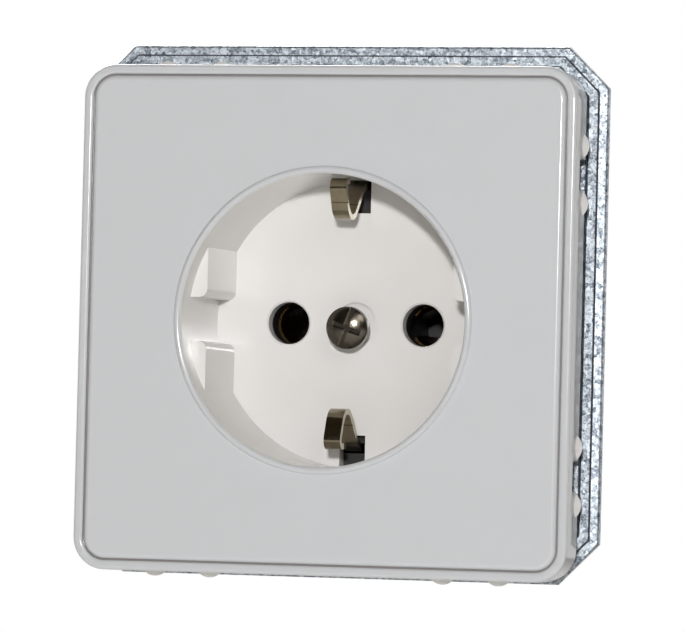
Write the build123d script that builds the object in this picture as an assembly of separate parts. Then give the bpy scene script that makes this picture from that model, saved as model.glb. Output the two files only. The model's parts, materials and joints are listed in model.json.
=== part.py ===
from build123d import *
from math import cos, radians, sqrt, tan
import os

# A flush-mounting mains socket with two round pin holes and two side earth clips.
# It is drawn lying on its back: x to the right, y up the wall, z out of the wall,
# with the wall plane at z = 0 and the middle of the mounting plate at the origin.
# The last step stands it upright. All sizes are in millimetres.

# Cover moulding: raised panel, groove, rim and skirt
cover_width = 68.3
cover_front = 12.2
cover_corner = 4.4
skirt_depth = 6.2
skirt_wall = 1.7
panel_wall = 2.3
rim_width = 1.3
rim_drop = 0.1
rim_outer_round = 0.5
rim_inner_round = 0.4
groove_width = 0.2
groove_depth = 0.75
panel_round = 0.7

# Snap noses and windows round the skirt, which hold the outer frame
window_offset = 20.05
window_width = 4.2
window_height = 3.4
nose_spacing = 7.7
nose_length = 3.2
nose_height = 0.75
nose_reach = 1.1
nose_depth = 5.0
rib_wall = 1.2
rib_height = 2.4

# Plug well
well_radius = 19.65
well_depth = 17.5
well_wall = 1.3
floor_wall = 2.2
bead_width = 1.0
bead_height = 0.4
guide_reach = 2.55
guide_slot = 5.9
guide_start = 3.6
guide_round = 1.2
pin_spacing = 19.0
pin_hole = 5.8
pin_hole_chamfer = 0.25
clip_slot_width = 3.6
clip_slot_length = 4.7
clip_slot_edge = 0.25

# Centre screw, undone from its insert and leaning in its hole
screw_head = 5.8
screw_head_side = 1.0
screw_head_crown = 0.85
screw_head_round = 0.2
screw_thread = 3.0
screw_length = 12.0
screw_slot_width = 0.85
screw_slot_depth = 1.0
screw_slot_turn = -19.0
screw_cross_reach = 2.1
screw_cross_width = 0.8
screw_lift = 3.6
screw_lean = 5.2
screw_pivot = 2.5
head_recess_clearance = 0.05
head_recess_depth = 0.5

# Mounting plate: pressed sheet with two raised steps
plate_width = 72.2
plate_corner_cut = 5.55
plate_sheet = 1.0
outer_band = 1.35
inner_band = 1.35
outer_rise = 0.35
inner_rise = 0.8
plate_edge_round = 0.35
plate_gap = 0.85
insert_drop = 1.5
box_screw_spacing = 60.0
box_slot_width = 3.6
box_slot_length = 6.0

# Base moulding behind the plate
base_wall = 4.0
cup_gap = 1.05
base_floor_thickness = 10.0
housing_depth = 7.0
housing_width = 34.0
housing_height = 13.0
housing_round = 3.0
base_chamfer = 0.8
back_rim_height = 1.2
back_rim_width = 1.6
back_rib_width = 1.4
gauge_length = 11.0
gauge_width = 1.6
gauge_depth = 0.6

# Insulating guard over the contacts
guard_thickness = 3.0
guard_gap = 0.1
guard_chamfer = 0.3
guard_pin_hole = 6.0
guard_centre_hole = 5.6
driver_hole = 6.4

# Contacts
contact_bore = 4.7
contact_wall = 0.8
contact_mouth = 1.5
contact_length = 12.8
contact_opening = 60.0
contact_slit = 0.6
contact_slit_length = 8.5
contact_chamber_gap = 0.95
tail_drop = 2.5
tail_thickness = 1.0
tail_reach = 11.9
tail_height = 15.6
tail_corner = 1.5
backing_spring_wall = 0.5
backing_spring_height = 5.0
backing_spring_drop = 3.5
backing_spring_opening = 80.0
spring_gap = 0.05

# Terminal screws and clamping plates
terminal_x = 17.4
terminal_y = 4.3
terminal_thread = 3.5
terminal_head = 5.6
terminal_head_height = 1.8
terminal_slot_width = 0.9
terminal_slot_depth = 0.9
terminal_reach = 4.2
terminal_well = 4.8
thread_gap = 0.04
clamp_size = 7.4
clamp_thickness = 1.2
clamp_gap = 0.5
clamp_corner = 0.8
clamp_groove = 0.3
clamp_hole_clearance = 0.15
wire_channel = 4.2
wire_lip = 0.4
wire_start = 2.0
wire_wall = 0.6

# Earth yoke with its two clips, one bent strip, a little higher than the well
yoke_rise = 1.15
yoke_sheet = 0.8
yoke_width = 8.4
yoke_lug_reach = 12.4
yoke_lug_height = 7.4
yoke_hole = 5.4
earth_screw_x = 8.6
earth_screw_y = 14.6
clip_width = 2.3
clip_root = 1.55
clip_root_depth = 18.4
clip_knee = 2.75
clip_knee_depth = 15.7
clip_apex = 8.15
clip_apex_depth = 9.7
clip_apex_bend = 2.7
clip_bend = 1.7
clip_bend_depth = 6.5
clip_lip = 1.75
clip_lip_depth = 8.8
clip_corner = 0.9
channel_gap = 0.3
lug_corner = 1.2

# Threaded insert for the centre screw
insert_depth = 9.0
insert_length = 8.0
insert_diameter = 5.0
insert_thread = 2.5
lead_in = 5.6

# Small screws that hold the pieces together
plate_screw_edge = 2.0
plate_screw_head = 4.2
plate_screw_head_height = 1.4
plate_screw_thread = 2.2
plate_screw_length = 9.0
guard_screw_head = 4.6
guard_screw_head_height = 1.3
guard_screw_thread = 2.2
guard_screw_length = 7.0
small_slot_width = 0.7
small_slot_depth = 0.7
screw_play = 0.15
screw_tip_room = 0.5
guard_screw_sink = 0.3
guard_head_play = 0.2

# Levels along z that several pieces share
floor_front = cover_front - well_depth
floor_back = floor_front - floor_wall
guard_back = floor_back - guard_thickness
base_disc_back = guard_back - base_floor_thickness
base_back = base_disc_back - housing_depth
tail_top = guard_back - tail_drop
raised_front = plate_sheet + outer_rise + inner_rise
raised_back = outer_rise + inner_rise
insert_top = floor_front - insert_depth
terminal_head_seat = tail_top + clamp_gap + clamp_thickness

# Radii and places across the wall that follow from the well
well_outside = well_radius + well_wall
cup_radius = well_outside + cup_gap
base_radius = cup_radius + base_wall
plate_opening = well_outside + plate_gap
plate_screw_radius = base_radius - plate_screw_edge
guide_half_gap = well_radius - guide_reach
clip_slot_outer = well_radius + clip_slot_edge
clip_slot_inner = clip_slot_outer - clip_slot_length
clip_leg = well_radius - clip_root
pin_x = pin_spacing / 2
earth_y = yoke_rise - earth_screw_y

# The leaning screw rests against the front edge of its hole
lean = radians(screw_lean)
screw_hole_radius = screw_thread / 2 / cos(lean) + (screw_pivot - head_recess_depth) * tan(lean)


def cylinder_between(radius, low, high, x=0.0, y=0.0):
    """A round bar along z between two levels."""
    return extrude(Pos(x, y, low) * Circle(radius), high - low)


def box_between(x_low, x_high, y_low, y_high, z_low, z_high):
    """A block given by its six faces."""
    size = (x_high - x_low, y_high - y_low, z_high - z_low)
    middle = ((x_low + x_high) / 2, (y_low + y_high) / 2, (z_low + z_high) / 2)
    return Pos(*middle) * Box(*size)


def rounded_block(width, height, corner, low, high):
    """A block with rounded upright edges, centred on z."""
    return extrude(Pos(0, 0, low) * RectangleRounded(width, height, corner), high - low)


def around(piece, count):
    """The same piece repeated evenly about z."""
    return [Rot(0, 0, turn * 360 / count) * piece for turn in range(count)]


def slotted_screw(head, side, crown, thread, length, slot_width, slot_depth):
    """A screw standing on its tip: head seat at z = 0, thread below it."""
    top = side + crown
    dome = (head**2 / 4 + crown**2) / (2 * crown)
    between = (head / 4, top - dome + sqrt(dome**2 - head**2 / 16))
    outline = (
        Line((0, 0), (head / 2, 0))
        + Line((head / 2, 0), (head / 2, side))
        + ThreePointArc((head / 2, side), between, (0, top))
        + Line((0, top), (0, 0))
    )
    profile = make_face(outline)
    edge = profile.vertices().filter_by(lambda v: v.X > head / 4 and v.Y > side / 2)
    body = revolve(Plane.XZ * fillet(edge, screw_head_round), Axis.Z)
    body -= box_between(-slot_width / 2, slot_width / 2, -head, head, top - slot_depth, top + 1)
    shank = cylinder_between(thread / 2, -length, 0)
    return body + chamfer(shank.edges().sort_by(Axis.Z)[0], thread * 0.12)


def flat_screw(head, height, thread, length, slot_width, slot_depth):
    """A cheese-head screw: head seat at z = 0, thread below it."""
    body = cylinder_between(head / 2, 0, height)
    body = chamfer(body.edges().sort_by(Axis.Z)[-1], height * 0.15)
    body -= box_between(-slot_width / 2, slot_width / 2, -head, head, height - slot_depth, height + 1)
    return body + cylinder_between(thread / 2, -length, 0)


def cover_face():
    """Skirt, rim, groove and raised panel, without the well."""
    back = cover_front - skirt_depth
    groove_floor = cover_front - groove_depth
    shell = rounded_block(cover_width, cover_width, cover_corner, back, groove_floor)
    inside = cover_width - 2 * skirt_wall
    shell -= rounded_block(inside, inside, cover_corner - skirt_wall, back, cover_front - panel_wall)

    rim_top = cover_front - rim_drop
    rim_inside = cover_width - 2 * rim_width
    rim = rounded_block(cover_width, cover_width, cover_corner, groove_floor, rim_top)
    rim = fillet(rim.edges().group_by(Axis.Z)[-1], rim_outer_round)
    rim -= rounded_block(rim_inside, rim_inside, cover_corner - rim_width, groove_floor, rim_top)
    rim_top_face = rim.faces().sort_by(Axis.Z)[-1]
    rim = fillet(rim_top_face.inner_wires().edges(), rim_inner_round)

    panel_width = rim_inside - 2 * groove_width
    panel_corner = cover_corner - rim_width - groove_width
    panel = rounded_block(panel_width, panel_width, panel_corner, groove_floor, cover_front)
    panel = fillet(panel.edges().group_by(Axis.Z)[-1], panel_round)
    return shell + rim + panel


def skirt_details():
    """The window cuts and the snap noses of one side, made for the right-hand side."""
    half = cover_width / 2
    back = cover_front - skirt_depth
    cuts = []
    noses = []
    ridge = (nose_length**2 / 4 - nose_height**2) / (2 * nose_height)
    for middle in (-window_offset, window_offset):
        low, high = middle - window_width / 2, middle + window_width / 2
        cuts.append(box_between(half - 2 * skirt_wall, half + 1, low, high, back, back + window_height))
        for offset in (-nose_spacing / 2, nose_spacing / 2):
            outer_cone = Cone(ridge + nose_height, ridge, nose_reach)
            nose = Pos(0, 0, nose_reach / 2) * outer_cone
            nose += mirror(nose, Plane.XY)
            nose = Pos(half - ridge, middle + offset, cover_front - nose_depth) * nose
            keep = box_between(half - skirt_wall / 2, half + 1, -half, half, back, cover_front)
            noses.append(nose & keep)
    return cuts, noses


def corner_rib():
    """One stiffening rib behind the panel, from the well to a corner of the skirt."""
    start = well_radius + well_wall / 2
    end = (cover_width / 2 - skirt_wall) * sqrt(2) - cover_corner * (sqrt(2) - 1)
    top = cover_front - panel_wall + 0.5
    low = cover_front - panel_wall - rib_height
    return Rot(0, 0, 45) * box_between(start, end, -rib_wall / 2, rib_wall / 2, low, top)


def well_bead():
    """The rounded ring that borders the well."""
    outer = well_radius + bead_width
    root = cover_front - panel_wall / 2
    profile = (
        Line((well_radius, root), (outer, root))
        + Line((outer, root), (outer, cover_front))
        + ThreePointArc(
            (outer, cover_front),
            (well_radius + bead_width / 2, cover_front + bead_height),
            (well_radius, cover_front),
        )
        + Line((well_radius, cover_front), (well_radius, root))
    )
    return revolve(Plane.XZ * make_face(profile), Axis.Z)


def guide_blocks():
    """The four guide blocks of the well, two on each side of a slot."""
    sketch = Circle(well_radius + well_wall / 2)
    side = Pos(guide_half_gap + well_radius / 2, 0) * Rectangle(well_radius, 2 * well_radius)
    sketch = (sketch & side) - Rectangle(3 * well_radius, guide_slot)
    corners = sketch.vertices().filter_by(
        lambda v: abs(v.X - guide_half_gap) < 0.01 and abs(abs(v.Y) - guide_slot / 2) < 0.01
    )
    sketch = fillet(corners, guide_round)
    low = floor_front - floor_wall / 2
    block = extrude(Pos(0, 0, low) * sketch, cover_front - guide_start - low)
    return around(block, 2)


def clip_slots():
    """The two slots in the well's floor through which the earth clips stand."""
    half = clip_slot_width / 2
    slot = box_between(-half, half, clip_slot_inner, clip_slot_outer, floor_back, floor_front)
    return around(slot, 2)


def guard_slots():
    """The two slots in the guard, close round the legs of the earth clips."""
    half = clip_slot_width / 2
    reach = yoke_sheet / 2 + channel_gap
    slot = box_between(-half, half, clip_leg - reach, clip_leg + reach, guard_back, floor_back)
    return [Pos(0, yoke_rise) * piece for piece in around(slot, 2)]


def cover_plate():
    """The whole cover moulding, well included."""
    cover = cover_face()
    cover += cylinder_between(well_radius + well_wall, floor_back, cover_front - panel_wall / 2)
    cover += well_bead()
    cover -= cylinder_between(well_radius, floor_front, cover_front + 2 * bead_height)
    cover += guide_blocks()

    cover += around(corner_rib(), 4)
    cuts, noses = skirt_details()
    for piece in cuts:
        cover -= around(piece, 4)
    for piece in noses:
        cover += around(piece, 4)

    cover -= clip_slots()
    for side in (-pin_x, pin_x):
        cover -= cylinder_between(pin_hole / 2, floor_back, floor_front, side)
        widened = pin_hole / 2 + pin_hole_chamfer
        mouth = Cone(pin_hole / 2, widened, pin_hole_chamfer)
        cover -= Pos(side, 0, floor_front - pin_hole_chamfer / 2) * mouth
    recess = screw_head / 2 + head_recess_clearance
    cover -= cylinder_between(recess, floor_front - head_recess_depth, floor_front)
    cover -= cylinder_between(screw_hole_radius, floor_back, floor_front)
    return cover


def centre_screw():
    """The pan-head screw that draws the cover down, lifted and leaning."""
    screw = slotted_screw(
        screw_head,
        screw_head_side,
        screw_head_crown,
        screw_thread,
        screw_length,
        screw_slot_width,
        screw_slot_depth,
    )
    top = screw_head_side + screw_head_crown
    half = screw_cross_width / 2
    cross = box_between(-screw_cross_reach, screw_cross_reach, -half, half, top - screw_slot_depth, top)
    screw = Rot(0, 0, screw_slot_turn) * (screw - cross)
    lifted = Pos(0, 0, screw_lift + screw_pivot) * screw
    return Pos(0, 0, floor_front - screw_pivot) * Rot(screw_lean, 0, 0) * lifted


def octagon(inset):
    """The plate's outline, moved inwards by a distance."""
    half = plate_width / 2 - inset
    flat = half - (plate_corner_cut - inset * (2 - sqrt(2)))
    right = [(half, -flat), (half, flat), (flat, half), (-flat, half)]
    left = [(-x, -y) for x, y in right]
    return make_face(Polyline(*right, *left, close=True))


def mounting_plate():
    """The pressed steel plate that is screwed to the wall box."""
    step = outer_band + inner_band
    plate = extrude(octagon(0), plate_sheet)
    plate = fillet(plate.edges().group_by(Axis.Z)[-1], plate_edge_round)
    plate += extrude(octagon(outer_band), plate_sheet + outer_rise)
    plate += extrude(octagon(step), raised_front)
    plate -= extrude(octagon(outer_band + plate_sheet), outer_rise)
    plate -= extrude(octagon(step + plate_sheet), raised_back)
    plate -= cylinder_between(plate_opening, 0, raised_front, 0, -insert_drop)

    slot = SlotOverall(box_slot_length, box_slot_width)
    for turn in range(4):
        along = Rot(0, 0, 90 * turn) * Pos(box_screw_spacing / 2, 0) * slot
        plate -= extrude(along, raised_front)
    for screw in plate_screw_places():
        hole = cylinder_between(plate_screw_thread / 2 + screw_play, 0, raised_front, *screw)
        plate -= Pos(0, -insert_drop) * hole
    return plate


def plate_screw_places():
    """Centres of the four screws between plate and base, about the well's axis."""
    reach = plate_screw_radius / sqrt(2)
    return [(reach, reach), (-reach, reach), (-reach, -reach), (reach, -reach)]


def terminal_places():
    """Name and centre of each terminal screw, about the well's axis."""
    return {
        "live_upper": (terminal_x, terminal_y),
        "live_lower": (terminal_x, -terminal_y),
        "neutral_upper": (-terminal_x, terminal_y),
        "neutral_lower": (-terminal_x, -terminal_y),
        "earth_right": (earth_screw_x, earth_y),
        "earth_left": (-earth_screw_x, earth_y),
    }


def base_back_details():
    """The rim and ribs on the back of the base, and the cut that shows how far to strip a wire."""
    inner = base_radius - base_chamfer - back_rim_width
    low = base_disc_back - back_rim_height
    rim = cylinder_between(base_radius - base_chamfer, low, base_disc_back)
    rim -= cylinder_between(inner, low, base_disc_back)
    half = back_rib_width / 2
    ribs = []
    for turn in (0, 1):
        start = (housing_width, housing_height)[turn] / 2
        rib = box_between(start - half, inner + half, -half, half, low, base_disc_back)
        ribs += [Rot(0, 0, 90 * turn + side) * rib for side in (0, 180)]
    half = gauge_length / 2
    width = gauge_width / 2
    gauge = box_between(-half, half, -width, width, base_back, base_back + gauge_depth)
    return [rim] + ribs, gauge


def wire_ways():
    """The channels by which the wires reach the terminals, from the rim inwards."""
    half = wire_channel / 2
    high = guard_back - wire_lip
    out = base_radius + 1
    low = base_disc_back - back_rim_height - 1
    tail_edge = pin_x + tail_reach + channel_gap + wire_wall
    lug_edge = yoke_lug_height / 2 + channel_gap + wire_wall - earth_y
    ways = []
    for x, y in terminal_places().values():
        if abs(x) > abs(y):
            near = box_between(terminal_x + wire_start, out, -half, half, tail_top - tail_thickness, high)
            deep = box_between(tail_edge, out, -half, half, low, high)
            turn = 0 if x > 0 else 180
            ways += [Pos(0, y) * Rot(0, 0, turn) * piece for piece in (near, deep)]
        else:
            near = box_between(-half, half, -out, earth_y - wire_start, tail_top - yoke_sheet, high)
            deep = box_between(-half, half, -out, -lug_edge, low, high)
            ways += [Pos(x, 0) * piece for piece in (near, deep)]
    return ways


def base_block():
    """The insulating base: a cup round the well, chambers, and a contact housing."""
    disc = cylinder_between(base_radius, base_disc_back, raised_back)
    disc = chamfer(disc.edges().group_by(Axis.Z)[0], base_chamfer)
    housing = rounded_block(housing_width, housing_height, housing_round, base_back, base_disc_back)
    housing = chamfer(housing.edges().group_by(Axis.Z)[0], base_chamfer)
    raised, gauge = base_back_details()
    base = disc + housing + raised - gauge
    base -= cylinder_between(cup_radius, guard_back, raised_back)

    chamber = contact_bore / 2 + contact_wall + contact_chamber_gap
    chamber_floor = tail_top + contact_mouth - contact_length - screw_tip_room
    half = tail_height / 2 + channel_gap
    reach = pin_x + tail_reach + channel_gap
    for side in (0, 180):
        recess = box_between(pin_x, reach, -half, half, tail_top - tail_thickness, guard_back)
        base -= Rot(0, 0, side) * recess
        base -= Rot(0, 0, side) * cylinder_between(chamber, chamber_floor, guard_back, pin_x)

    yoke_floor = tail_top - yoke_sheet
    half = yoke_width / 2 + channel_gap
    reach = clip_leg + yoke_sheet / 2 + channel_gap
    base -= box_between(-half, half, yoke_rise - reach, yoke_rise + reach, yoke_floor, guard_back)
    half = yoke_lug_reach + channel_gap
    reach = yoke_lug_height / 2 + channel_gap
    base -= box_between(-half, half, earth_y - reach, earth_y + reach, yoke_floor, guard_back)

    well_floor = tail_top - tail_thickness - terminal_reach
    for x, y in terminal_places().values():
        base -= cylinder_between(terminal_well / 2, well_floor, guard_back, x, y)
    for way in wire_ways():
        base -= way

    base -= cylinder_between(lead_in / 2, insert_top, guard_back)
    base -= cylinder_between(insert_diameter / 2, insert_top - insert_length, insert_top)
    depth = raised_front - plate_screw_length - screw_tip_room
    for x, y in plate_screw_places():
        base -= cylinder_between(plate_screw_thread / 2 + thread_gap, depth, raised_back, x, y)
    depth = guard_back - guard_screw_length
    for x in (-earth_screw_x, earth_screw_x):
        base -= cylinder_between(guard_screw_thread / 2 + thread_gap, depth, guard_back, x, earth_screw_y)
    return base


def contact_guard():
    """The insulating disc that closes the contact chambers."""
    guard = cylinder_between(cup_radius - guard_gap, guard_back, floor_back)
    guard = chamfer(guard.edges().group_by(Axis.Z)[-1], guard_chamfer)
    guard -= guard_slots()
    guard -= cylinder_between(guard_centre_hole / 2, guard_back, floor_back)
    for x in (-pin_x, pin_x):
        guard -= cylinder_between(guard_pin_hole / 2, guard_back, floor_back, x)
    for x, y in terminal_places().values():
        guard -= cylinder_between(driver_hole / 2, guard_back, floor_back, x, y)
    sink = floor_back - guard_screw_head_height - guard_screw_sink
    hole = guard_screw_thread / 2 + screw_play
    recess = guard_screw_head / 2 + guard_head_play
    for x in (-earth_screw_x, earth_screw_x):
        guard -= cylinder_between(hole, guard_back, floor_back, x, earth_screw_y)
        guard -= cylinder_between(recess, sink, floor_back, x, earth_screw_y)
    return guard


def split_tube(inner, wall, height, opening):
    """A tube standing on z = 0 with a gap that faces the middle of the socket."""
    tube = cylinder_between(inner + wall, 0, height) - cylinder_between(inner, 0, height)
    reach = 2 * (inner + wall)
    wedge = Polyline((0, 0), Vector(-reach, 0).rotate(Axis.Z, opening / 2), close=False)
    upper = wedge @ 1
    gap = make_face(Polyline((0, 0), (upper.X, upper.Y), (upper.X, -upper.Y), close=True))
    return tube - extrude(gap, height)


def contact():
    """The right-hand contact: a split tube that grips the pin, with a terminal tail."""
    top = tail_top + contact_mouth
    tube = split_tube(contact_bore / 2, contact_wall, contact_length, contact_opening)
    half = contact_slit / 2
    slit_end = contact_length - contact_slit_length
    tube -= box_between(-half, half, -contact_bore, contact_bore, slit_end, contact_length)
    mouth = Cone(contact_bore / 2, contact_bore / 2 + contact_wall * 0.6, contact_wall)
    tube -= Pos(0, 0, contact_length - contact_wall / 2) * mouth
    tube = Pos(pin_x, 0, top - contact_length) * tube

    middle = contact_bore / 2 + contact_wall / 2
    width = tail_reach - middle
    low = tail_top - tail_thickness
    outline = RectangleRounded(width, tail_height, tail_corner)
    tail = extrude(Pos(pin_x + middle + width / 2, 0, low) * outline, tail_thickness)
    tail -= cylinder_between(middle, low, tail_top, pin_x)
    for y in (-terminal_y, terminal_y):
        tail -= cylinder_between(terminal_thread / 2 + thread_gap, low, tail_top, terminal_x, y)
    return tube + tail


def backing_spring():
    """The steel clip round the right-hand contact that keeps its grip."""
    inner = contact_bore / 2 + contact_wall + spring_gap
    spring = split_tube(inner, backing_spring_wall, backing_spring_height, backing_spring_opening)
    low = tail_top - backing_spring_drop - backing_spring_height
    return Pos(pin_x, 0, low) * spring


def terminal_screw(x, y):
    """One slotted terminal screw, in its tail or lug."""
    length = terminal_head_seat - tail_top + tail_thickness + terminal_reach - screw_tip_room
    screw = flat_screw(
        terminal_head,
        terminal_head_height,
        terminal_thread,
        length,
        terminal_slot_width,
        terminal_slot_depth,
    )
    return Pos(x, y, terminal_head_seat) * screw


def clamp_plate(x, y):
    """One square clamping plate under its screw's head, with turned-down edges."""
    low = terminal_head_seat - clamp_thickness
    plate = rounded_block(clamp_size, clamp_size, clamp_corner, low, terminal_head_seat)
    groove = clamp_size / 4
    plate -= box_between(-clamp_size, clamp_size, -groove, groove, low, low + clamp_groove)
    plate -= cylinder_between(terminal_thread / 2 + clamp_hole_clearance, low, terminal_head_seat)
    return Pos(x, y) * plate


def earth_yoke():
    """The strip across the base with a bent clip at each end and two terminal lugs."""
    seat = tail_top - yoke_sheet / 2
    path = FilletPolyline(
        (0, seat),
        (clip_leg, seat),
        (clip_leg, cover_front - clip_root_depth),
        (well_radius - clip_knee, cover_front - clip_knee_depth),
        (well_radius - clip_apex, cover_front - clip_apex_depth),
        (well_radius - clip_bend, cover_front - clip_bend_depth),
        (well_radius - clip_lip, cover_front - clip_lip_depth),
        radius=[clip_corner, clip_corner, clip_corner, clip_apex_bend, clip_corner],
    )
    strip = extrude(Plane.YZ * trace(path, yoke_sheet), clip_width / 2, both=True)
    yoke = strip + mirror(strip, Plane.XZ)

    low, high = tail_top - yoke_sheet, tail_top
    arm = clip_leg - yoke_sheet / 2 - clip_corner
    yoke += box_between(-yoke_width / 2, yoke_width / 2, -arm, arm, low, high)
    lug = RectangleRounded(2 * yoke_lug_reach, yoke_lug_height, lug_corner)
    yoke += extrude(Pos(0, -earth_screw_y, low) * lug, yoke_sheet)
    yoke -= cylinder_between(yoke_hole / 2, low, high, 0, -yoke_rise)
    for x in (-earth_screw_x, earth_screw_x):
        yoke -= cylinder_between(terminal_thread / 2 + thread_gap, low, high, x, -earth_screw_y)
    return Pos(0, yoke_rise) * yoke


def threaded_insert():
    """The brass bush in the base that takes the centre screw."""
    low = insert_top - insert_length
    bush = cylinder_between(insert_diameter / 2 - spring_gap / 2, low, insert_top)
    bush -= cylinder_between(insert_thread / 2, low + 1, insert_top)
    return bush


def plate_screws():
    """The four screws that hold the plate on the base."""
    screw = flat_screw(
        plate_screw_head,
        plate_screw_head_height,
        plate_screw_thread,
        plate_screw_length,
        small_slot_width,
        small_slot_depth,
    )
    return Compound([Pos(x, y, raised_front) * screw for x, y in plate_screw_places()])


def guard_screws():
    """The two screws that hold the guard in the base."""
    seat = floor_back - guard_screw_head_height - guard_screw_sink
    length = seat - guard_back + guard_screw_length - screw_tip_room
    screw = flat_screw(
        guard_screw_head,
        guard_screw_head_height,
        guard_screw_thread,
        length,
        small_slot_width,
        small_slot_depth,
    )
    return Compound([Pos(x, earth_screw_y, seat) * screw for x in (-earth_screw_x, earth_screw_x)])


def all_pieces():
    """Every piece by name; all but the plate are centred on the well's axis."""
    pieces = {
        "cover_plate": cover_plate(),
        "centre_screw": centre_screw(),
        "threaded_insert": threaded_insert(),
        "base_block": base_block(),
        "contact_guard": contact_guard(),
        "guard_screws": guard_screws(),
        "plate_screws": plate_screws(),
        "earth_yoke": earth_yoke(),
        "live_contact": contact(),
        "live_backing_spring": backing_spring(),
    }
    pieces["neutral_contact"] = Rot(0, 0, 180) * pieces["live_contact"]
    pieces["neutral_backing_spring"] = Rot(0, 0, 180) * pieces["live_backing_spring"]
    for name, (x, y) in terminal_places().items():
        pieces[name + "_screw"] = terminal_screw(x, y)
        pieces[name + "_clamp"] = clamp_plate(x, y)
    pieces = {name: Pos(0, -insert_drop) * piece for name, piece in pieces.items()}
    pieces["mounting_plate"] = mounting_plate()
    return pieces


os.makedirs("parts", exist_ok=True)
for name, piece in all_pieces().items():
    export_step(Rot(90, 0, 0) * piece, f"parts/{name}.step")
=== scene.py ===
import json
import math

import bpy
from mathutils import Matrix, Vector


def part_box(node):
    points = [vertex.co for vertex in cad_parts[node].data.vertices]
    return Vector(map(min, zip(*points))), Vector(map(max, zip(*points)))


# A flush-mounting wall socket, seen a little from the right and from below.
# All sizes are in metres in the frame of the solids: x right, y into the wall, z up.
MM = 0.001

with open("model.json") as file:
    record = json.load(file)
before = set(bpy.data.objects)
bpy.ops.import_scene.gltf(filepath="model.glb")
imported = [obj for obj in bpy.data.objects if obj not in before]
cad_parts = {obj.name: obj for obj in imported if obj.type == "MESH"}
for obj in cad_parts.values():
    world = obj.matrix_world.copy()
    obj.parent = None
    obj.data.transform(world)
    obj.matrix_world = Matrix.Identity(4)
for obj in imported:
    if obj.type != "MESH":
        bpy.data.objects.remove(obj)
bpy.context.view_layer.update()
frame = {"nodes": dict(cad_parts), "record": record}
nodes = frame["nodes"]

# Photograph: its size in pixels and the camera that was fitted to it
PHOTO_WIDTH = 684
FOCAL_PIXELS = 5220.3
SENSOR_WIDTH = 36.0
CAMERA_PLACE = Vector((183.87, -684.42, -19.97)) * MM
CAMERA_RIGHT = Vector((0.96546, 0.25936, 0.0249))
CAMERA_DOWN = Vector((0.01694, 0.03292, -0.99931))

# Cover, read from the solid: its box reaches to the tips of the snap noses
cover_low, cover_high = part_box("cover_plate")
well_axis_z = (cover_low.z + cover_high.z) / 2
cover_half = (cover_high.x - cover_low.x) / 2
nose_height = 0.75 * MM
skirt_half = cover_half - nose_height
panel_half = skirt_half - 1.4 * MM
ring_radius = 20.65 * MM
ring_width = 0.9 * MM

# Groove round the panel: the centre of its corner arcs, their radius, and the top of its brown line of
# painted shade and dust
corner_centre = skirt_half - 4.4 * MM
groove_radius = 3.0 * MM
shade_and_dust_top = cover_low.y + 0.2 * MM

# Earth clips: the strip's middle, and how far from it the painted shade of each clip's crease lies
clip_centre_z = well_axis_z + 1.15 * MM
crease_shade_height = 15.0 * MM

# Mounting plate: half its width, its cut corners' reach, and the two pressed steps' distance from the edge
plate_half = 36.1 * MM
plate_slant = 66.65 * MM
plate_steps = (1.35 * MM, 2.7 * MM)

# A bend between faces under this angle is a curve, and over it an edge
EDGE_ANGLE = math.radians(24)


def linear(value):
    """One sRGB channel from 0 to 255 as linear light."""
    value /= 255
    return value / 12.92 if value <= 0.04045 else ((value + 0.055) / 1.055) ** 2.4


def colour(hex_value):
    """An sRGB hex colour as linear red, green, blue and alpha."""
    digits = hex_value.lstrip("#")
    return (*(linear(int(digits[i:i + 2], 16)) for i in (0, 2, 4)), 1.0)


def add(tree, kind, inputs=None, **settings):
    """Adds a node with its settings; each input is a value or another node's output."""
    node = tree.nodes.new(kind)
    for name, value in settings.items():
        setattr(node, name, value)
    for key, value in (inputs or {}).items():
        if isinstance(value, bpy.types.NodeSocket):
            tree.links.new(value, node.inputs[key])
        else:
            node.inputs[key].default_value = value
    return node


def new_material(name):
    """An empty node material, with its shader, its Object coordinates and its tree."""
    material = bpy.data.materials.new(name)
    material.use_nodes = True
    tree = material.node_tree
    tree.nodes.clear()
    shader = add(tree, "ShaderNodeBsdfPrincipled")
    add(tree, "ShaderNodeOutputMaterial", {"Surface": shader.outputs["BSDF"]})
    place = add(tree, "ShaderNodeTexCoord").outputs["Object"]
    return material, tree, shader, place


def noise(tree, place, size, detail=2.0, roughness=0.5):
    """A noise whose grain is about size metres across."""
    inputs = {"Vector": place, "Scale": 1 / size, "Detail": detail, "Roughness": roughness}
    return add(tree, "ShaderNodeTexNoise", inputs).outputs["Fac"]


def ramp(tree, value, low, high, to_low=0.0, to_high=1.0):
    """Stretches a value from low..high to to_low..to_high, held at both ends."""
    inputs = {"Value": value, "From Min": low, "From Max": high, "To Min": to_low, "To Max": to_high}
    return add(tree, "ShaderNodeMapRange", inputs).outputs["Result"]


def mixed(tree, share, first, second):
    """Two colours mixed by share."""
    return add(tree, "ShaderNodeMix", {0: share, 6: first, 7: second}, data_type="RGBA").outputs[2]


def relief(tree, height, depth):
    """A bump whose highest point stands depth metres above its lowest."""
    inputs = {"Height": height, "Strength": 1.0, "Distance": depth}
    return add(tree, "ShaderNodeBump", inputs).outputs["Normal"]


def arithmetic(tree, operation, first, second=0.0):
    """One sum on two values."""
    return add(tree, "ShaderNodeMath", {0: first, 1: second}, operation=operation).outputs[0]


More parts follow.
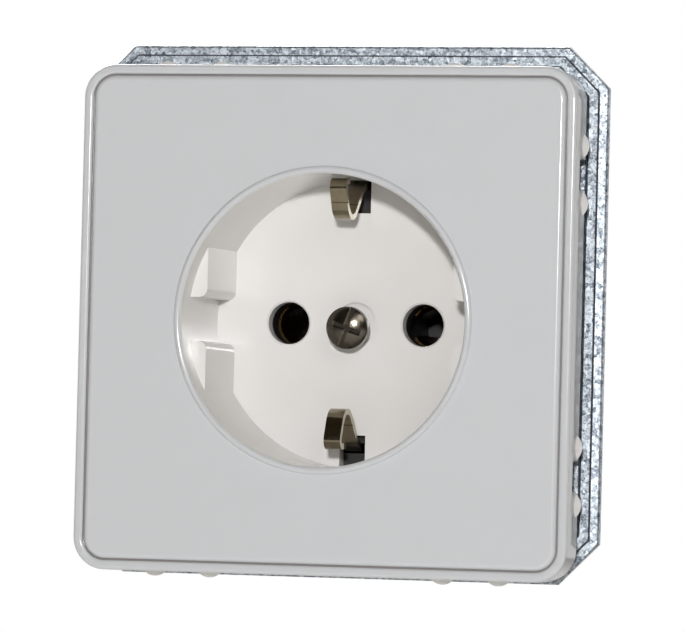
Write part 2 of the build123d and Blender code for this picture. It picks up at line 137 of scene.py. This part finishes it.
def moulded_white_plastic():
    """White ABS, injection moulded: even and glossy. It is painted whiter inside the well, as painted bounce
    light, and the flat panel is painted a cooler tone of its own, as painted light on the same plastic.

    The snap noses are painted as white as the well, as painted light where the lamp strikes them, and a thin
    brown line in the groove is painted shade with a little dust.
    """
    material, tree, shader, place = new_material("injection_moulded_white_abs")
    axes = add(tree, "ShaderNodeSeparateXYZ", {"Vector": place}).outputs
    from_axis = arithmetic(tree, "SUBTRACT", axes["Z"], well_axis_z)
    flat = add(tree, "ShaderNodeCombineXYZ", {"X": axes["X"], "Z": from_axis}).outputs[0]
    radius = add(tree, "ShaderNodeVectorMath", {0: flat}, operation="LENGTH").outputs["Value"]
    edge_x = arithmetic(tree, "ABSOLUTE", axes["X"])
    edge_z = arithmetic(tree, "ABSOLUTE", from_axis)
    edge = arithmetic(tree, "MAXIMUM", edge_x, edge_z)

    # Painted light: the well and the snap noses are painted whiter, and the flat panel gets its own tone, for
    # how the light falls on one and the same plastic
    in_panel = arithmetic(tree, "LESS_THAN", edge, panel_half)
    in_panel = arithmetic(tree, "MULTIPLY", in_panel, arithmetic(tree, "GREATER_THAN", radius, ring_radius))
    in_well = arithmetic(tree, "LESS_THAN", radius, ring_radius - ring_width)
    on_nose = arithmetic(tree, "GREATER_THAN", edge, skirt_half + 0.05 * MM)
    painted_light_zone = arithmetic(tree, "MAXIMUM", in_well, on_nose)

    # Flow clouds of about 9 mm, so faint that they only keep the white from looking painted
    cloud = noise(tree, place, 9 * MM)
    body = mixed(tree, cloud, colour("#C8CACD"), colour("#CCCED1"))
    panel = mixed(tree, cloud, colour("#CBCDD0"), colour("#CED0D3"))
    well = mixed(tree, cloud, colour("#E0DEDC"), colour("#E4E3E1"))
    tone = mixed(tree, painted_light_zone, mixed(tree, in_panel, body, panel), well)

    # Distance from the groove's middle line, straight along the sides and round at the corners
    overhang_x = arithmetic(tree, "MAXIMUM", arithmetic(tree, "SUBTRACT", edge_x, corner_centre), 0.0)
    overhang_z = arithmetic(tree, "MAXIMUM", arithmetic(tree, "SUBTRACT", edge_z, corner_centre), 0.0)
    overhang = add(tree, "ShaderNodeCombineXYZ", {"X": overhang_x, "Z": overhang_z}).outputs[0]
    overhang = add(tree, "ShaderNodeVectorMath", {0: overhang}, operation="LENGTH").outputs["Value"]
    from_groove = arithmetic(tree, "ABSOLUTE", arithmetic(tree, "SUBTRACT", overhang, groove_radius))
    # A thin brown line in the groove's bottom: painted shade of the groove, with a little dust
    sunk = arithmetic(tree, "GREATER_THAN", axes["Y"], shade_and_dust_top)
    shade_and_dust = ramp(tree, from_groove, 0.08 * MM, 0.15 * MM, 1.0, 0.0)
    shade_and_dust = arithmetic(tree, "MULTIPLY", arithmetic(tree, "MULTIPLY", sunk, 0.6), shade_and_dust)
    tree.links.new(mixed(tree, shade_and_dust, tone, colour("#5A4530")), shader.inputs["Base Color"])

    # The tool's polish varies over about 3 mm, and the skirt is glossier than the face
    gloss = ramp(tree, noise(tree, place, 3 * MM), 0.0, 1.0, 0.12, 0.18)
    on_skirt = arithmetic(tree, "GREATER_THAN", edge, panel_half + 1.3 * MM)
    gloss = arithmetic(tree, "MULTIPLY", gloss, ramp(tree, on_skirt, 0.0, 1.0, 1.0, 0.45))
    tree.links.new(gloss, shader.inputs["Roughness"])
    # Sink of a hundredth of a millimetre over about 6 mm bends the reflections a little
    flow = noise(tree, place, 6 * MM, 1.0)
    tree.links.new(relief(tree, flow, 0.012 * MM), shader.inputs["Normal"])
    return material


def spangled_zinc():
    """Hot-dip zinc on steel sheet: fine frosty crystals, a rolled-off rim and painted shade in the pressed
    steps.
    """
    material, tree, shader, place = new_material("hot_dip_zinc_on_steel")
    shader.inputs["Metallic"].default_value = 1.0
    axes = add(tree, "ShaderNodeSeparateXYZ", {"Vector": place}).outputs
    across = arithmetic(tree, "ABSOLUTE", axes["X"])
    upward = arithmetic(tree, "ABSOLUTE", axes["Z"])
    straight = arithmetic(tree, "SUBTRACT", plate_half, arithmetic(tree, "MAXIMUM", across, upward))
    slanted = arithmetic(tree, "SUBTRACT", plate_slant, arithmetic(tree, "ADD", across, upward))
    slanted = arithmetic(tree, "MULTIPLY", slanted, math.sqrt(0.5))
    inset = arithmetic(tree, "MINIMUM", straight, slanted)

    # Minimised spangle: crystals of about half a millimetre, with a frost of about a quarter in them
    crystals = add(tree, "ShaderNodeTexVoronoi", {"Vector": place, "Scale": 1 / (0.5 * MM)})
    shade = add(tree, "ShaderNodeSeparateColor", {"Color": crystals.outputs["Color"]}).outputs[0]
    grain = noise(tree, place, 0.28 * MM, 4.0, 0.75)
    facets = arithmetic(tree, "MULTIPLY", shade, 0.35)
    frost = arithmetic(tree, "MULTIPLY", grain, 1.1)
    tone = ramp(tree, arithmetic(tree, "ADD", facets, frost), 0.45, 1.1)
    zinc = mixed(tree, tone, colour("#47515C"), colour("#DDE5EC"))

    # A dark line of painted shade, 0.3 mm wide, along the foot of each pressed step
    step_shade = 0.0
    for step in plate_steps:
        away = arithmetic(tree, "ABSOLUTE", arithmetic(tree, "SUBTRACT", inset, step))
        step_shade = arithmetic(tree, "MAXIMUM", ramp(tree, away, 0.05 * MM, 0.16 * MM, 1.0, 0.0), step_shade)
    tree.links.new(mixed(tree, step_shade, zinc, colour("#26262A")), shader.inputs["Base Color"])
    tree.links.new(ramp(tree, tone, 0, 1, 0.46, 0.26), shader.inputs["Roughness"])

    # The crystals tilt a little against each other. The two side bands are shaded as if they sloped outwards
    # by about 12 degrees, which catches the white behind the object; the solid's bands are flat
    skin = arithmetic(tree, "ADD", shade, arithmetic(tree, "MULTIPLY", grain, 1.5))
    skin = arithmetic(tree, "MULTIPLY", skin, 0.045 * MM)
    side_inset = arithmetic(tree, "SUBTRACT", plate_half, across)
    roll_off = ramp(tree, side_inset, 0.0, plate_steps[0], 0.0, 0.3 * MM)
    height = arithmetic(tree, "ADD", skin, roll_off)
    tree.links.new(relief(tree, height, 1.0), shader.inputs["Normal"])
    return material


def plated_metal(name, hex_low, hex_high, roughness, grain_size, grain_depth):
    """A plated or bare metal: clouds of about 1.5 mm, uneven gloss of 0.4 mm and a skin of the given grain.

    The real skins are finer than a pixel, so each grain is drawn as coarse as it needs to show.
    """
    material, tree, shader, place = new_material(name)
    shader.inputs["Metallic"].default_value = 1.0
    cloud = noise(tree, place, 1.5 * MM, 3.0)
    tree.links.new(mixed(tree, cloud, colour(hex_low), colour(hex_high)), shader.inputs["Base Color"])
    gloss = ramp(tree, noise(tree, place, 0.4 * MM, 3.0), 0.3, 0.7, roughness * 0.8, roughness * 1.25)
    tree.links.new(gloss, shader.inputs["Roughness"])
    skin = noise(tree, place, grain_size, 3.0)
    tree.links.new(relief(tree, skin, grain_depth), shader.inputs["Normal"])
    return material


def bent_strip():
    """Nickel on brass strip: dull yellowish grey, with a fine dark line across each clip's front, painted as
    the shade of a crease.
    """
    material, tree, shader, place = new_material("nickel_on_brass_strip")
    shader.inputs["Metallic"].default_value = 1.0
    height = add(tree, "ShaderNodeSeparateXYZ", {"Vector": place}).outputs["Z"]
    height = arithmetic(tree, "ABSOLUTE", arithmetic(tree, "SUBTRACT", height, clip_centre_z))
    away = arithmetic(tree, "ABSOLUTE", arithmetic(tree, "SUBTRACT", height, crease_shade_height))
    # A fine dark line of painted shade where each clip is creased
    crease_shade = ramp(tree, away, 0.03 * MM, 0.1 * MM, 0.65, 0.0)
    cloud = noise(tree, place, 1.5 * MM, 3.0)
    skin = mixed(tree, cloud, colour("#857B66"), colour("#A0967F"))
    tree.links.new(mixed(tree, crease_shade, skin, colour("#2A251D")), shader.inputs["Base Color"])
    gloss = ramp(tree, noise(tree, place, 0.4 * MM, 3.0), 0.3, 0.7, 0.14, 0.22)
    tree.links.new(gloss, shader.inputs["Roughness"])
    tree.links.new(relief(tree, noise(tree, place, 0.8 * MM, 3.0), 0.003 * MM), shader.inputs["Normal"])
    return material


def dark_thermoset():
    """Compression-moulded thermoset: near black, matt, with a faint mineral speckle of about 0.3 mm."""
    material, tree, shader, place = new_material("compression_moulded_thermoset")
    speck = ramp(tree, noise(tree, place, 0.3 * MM, 3.0), 0.45, 0.7)
    tree.links.new(mixed(tree, speck, colour("#0F0F0E"), colour("#191817")), shader.inputs["Base Color"])
    tree.links.new(ramp(tree, noise(tree, place, 2 * MM), 0.3, 0.7, 0.5, 0.65), shader.inputs["Roughness"])
    tree.links.new(relief(tree, noise(tree, place, 0.5 * MM), 0.006 * MM), shader.inputs["Normal"])
    return material


def smooth_shading(node):
    """Shades a solid's curved faces smooth and keeps its edges; its mesh stays as it is."""
    tree = bpy.data.node_groups.new("rounded_shading_" + node.name, "GeometryNodeTree")
    tree.interface.new_socket("Geometry", in_out="INPUT", socket_type="NodeSocketGeometry")
    tree.interface.new_socket("Geometry", in_out="OUTPUT", socket_type="NodeSocketGeometry")
    mesh = add(tree, "NodeGroupInput").outputs[0]
    mesh = add(tree, "GeometryNodeMergeByDistance", {"Geometry": mesh, "Distance": 1e-6}).outputs[0]
    mesh = add(tree, "GeometryNodeSetShadeSmooth", {"Geometry": mesh}, domain="FACE").outputs[0]
    angle = add(tree, "GeometryNodeInputMeshEdgeAngle").outputs["Unsigned Angle"]
    soft = add(tree, "FunctionNodeCompare", {"A": angle, "B": EDGE_ANGLE}, operation="LESS_THAN")
    edges = {"Geometry": mesh, "Selection": soft.outputs[0], "Shade Smooth": True}
    mesh = add(tree, "GeometryNodeSetShadeSmooth", edges, domain="EDGE").outputs[0]
    hard = add(tree, "FunctionNodeCompare", {"A": angle, "B": EDGE_ANGLE}, operation="GREATER_EQUAL")
    edges = {"Geometry": mesh, "Selection": hard.outputs[0], "Shade Smooth": False}
    mesh = add(tree, "GeometryNodeSetShadeSmooth", edges, domain="EDGE").outputs[0]
    add(tree, "NodeGroupOutput", {0: mesh})
    modifier = node.modifiers.new("rounded_shading", "NODES")
    modifier.node_group = tree
    weighted = node.modifiers.new("flat_faces_stay_flat", "WEIGHTED_NORMAL")
    weighted.keep_sharp = True
    weighted.weight = 100


finishes = {
    # Glossy, clean white moulding
    "cover_plastic": moulded_white_plastic(),
    # Dull black moulding that swallows the light in the holes
    "base_plastic": dark_thermoset(),
    # Bluish frosty sheet with dark lines of painted shade in its steps
    "plate_steel": spangled_zinc(),
    # Smoky mirror on the low dome, with one sharp glint; its colour is written darker than clean nickel is,
    # as painted shade for the dim room the dome mirrors
    "screw_steel": plated_metal("nickel_on_steel_painted_dark", "#5E5850", "#726C62", 0.2, 0.8 * MM, 0.001 * MM),
    # Cool silvery small screws
    "fixing_steel": plated_metal("clear_zinc_on_steel", "#A9AEB2", "#C4C8CB", 0.28, 0.3 * MM, 0.003 * MM),
    # Straw-coloured screws and clamps in the wire ways
    "terminal_steel": plated_metal("yellow_zinc_on_steel", "#B4A877", "#CDBF8B", 0.3, 0.3 * MM, 0.003 * MM),
    # Grey, unplated spring wire
    "spring_steel": plated_metal("blank_spring_steel", "#76777A", "#8F9093", 0.32, 0.3 * MM, 0.003 * MM),
    # Dull yellowish grey strip of the earth clips
    "yoke_brass": bent_strip(),
    # Brown tubes at the bottom of the pin holes, painted dark as the shade of the deep holes
    "contact_brass": plated_metal("bronze_strip_painted_dark", "#4A3A24", "#5E4A2C", 0.3, 0.4 * MM, 0.003 * MM),
    # Clear yellow of freshly cut brass
    "insert_brass": plated_metal("turned_brass", "#C79A4B", "#DDB566", 0.25, 0.2 * MM, 0.003 * MM),
}


def dress_solids():
    """Gives each solid its finish by the record's material slot."""
    for part in frame["record"]["subparts"]:
        node = nodes[part["node"]]
        for slot in node.material_slots:
            slot.material = finishes[part["material_slot"]]
        smooth_shading(node)


def area_light(name, place, target, size, power):
    """A square soft light aimed at a point, unseen by the camera."""
    data = bpy.data.lights.new(name, "AREA")
    data.shape = "SQUARE"
    data.size = size
    data.energy = power
    light = bpy.data.objects.new(name, data)
    bpy.context.scene.collection.objects.link(light)
    light.location = place
    light.rotation_euler = (target - place).to_track_quat("-Z", "Y").to_euler()
    light.visible_camera = False


def build_stage():
    """A pale floor well below, a white surround for the camera, and studio light."""
    floor_mesh = bpy.data.meshes.new("floor")
    half, level = 2.0, -0.28
    corners = [(-half, -half, level), (half, -half, level), (half, half, level), (-half, half, level)]
    floor_mesh.from_pydata(corners, [], [(0, 1, 2, 3)])
    floor = bpy.data.objects.new("floor", floor_mesh)
    bpy.context.scene.collection.objects.link(floor)
    material, tree, shader, place = new_material("pale_matt_board")
    shade = mixed(tree, noise(tree, place, 0.02), colour("#EDEDEB"), colour("#F1F1EF"))
    tree.links.new(shade, shader.inputs["Base Color"])
    shader.inputs["Roughness"].default_value = 0.8
    # To the camera the board stays pale out to its far edge, and it still takes the object's shadow
    seen = arithmetic(tree, "MULTIPLY", add(tree, "ShaderNodeLightPath").outputs["Is Camera Ray"], 0.65)
    paper = add(tree, "ShaderNodeEmission", {"Color": shade, "Strength": 1.0}).outputs[0]
    surface = add(tree, "ShaderNodeMixShader", {0: seen, 1: shader.outputs["BSDF"], 2: paper}).outputs[0]
    tree.links.new(surface, tree.nodes["Material Output"].inputs["Surface"])
    floor_mesh.materials.append(material)

    # The camera sees white, metal mirrors white behind the object and a dim room before it,
    # and a weak warm fill reaches into the shadows
    world = bpy.data.worlds.new("studio")
    bpy.context.scene.world = world
    world.use_nodes = True
    tree = world.node_tree
    tree.nodes.clear()
    rays = add(tree, "ShaderNodeLightPath").outputs
    place = add(tree, "ShaderNodeTexCoord").outputs["Generated"]
    behind = add(tree, "ShaderNodeSeparateXYZ", {"Vector": place}).outputs["Y"]
    behind = ramp(tree, behind, -0.25, 0.1)
    mirrored = arithmetic(tree, "MAXIMUM", rays["Is Glossy Ray"], rays["Is Transmission Ray"])
    white = arithmetic(tree, "MAXIMUM", rays["Is Camera Ray"], arithmetic(tree, "MULTIPLY", mirrored, behind))
    soft_fill = add(tree, "ShaderNodeBackground", {"Color": colour("#A08050"), "Strength": 0.12}).outputs[0]
    dim_room = add(tree, "ShaderNodeBackground", {"Color": colour("#38322A"), "Strength": 1.0}).outputs[0]
    backdrop = add(tree, "ShaderNodeBackground", {"Color": (1, 1, 1, 1), "Strength": 1.0}).outputs[0]
    surround = add(tree, "ShaderNodeMixShader", {0: mirrored, 1: soft_fill, 2: dim_room}).outputs[0]
    surround = add(tree, "ShaderNodeMixShader", {0: white, 1: surround, 2: backdrop}).outputs[0]
    add(tree, "ShaderNodeOutputWorld", {"Surface": surround})

    # The key light stands where the upper clip's shadow falls on the well's floor as in the photograph
    middle = Vector((0, cover_low.y, well_axis_z))
    key_direction = Vector((0.215, -1.0, 0.118)).normalized()
    area_light("key_light", middle + key_direction * 1.3, middle, 0.06, 10.6)
    area_light("upper_right_fill", Vector((0.6, -1.0, 0.5)), middle, 0.4, 1.5)
    area_light("back_fill", Vector((-0.5, 1.1, 0.7)), Vector((0, 0.02, 0)), 0.7, 18.0)


def place_camera():
    """The photograph's camera."""
    data = bpy.data.cameras.new("camera")
    data.sensor_width = SENSOR_WIDTH
    data.lens = FOCAL_PIXELS / PHOTO_WIDTH * SENSOR_WIDTH
    camera = bpy.data.objects.new("camera", data)
    bpy.context.scene.collection.objects.link(camera)
    up = -CAMERA_DOWN
    back = CAMERA_RIGHT.cross(up)
    turn = Matrix((CAMERA_RIGHT, up, back)).transposed()
    camera.matrix_world = Matrix.Translation(CAMERA_PLACE) @ turn.to_4x4()
    bpy.context.scene.camera = camera


dress_solids()
build_stage()
place_camera()
bpy.context.scene.view_settings.view_transform = "Standard"
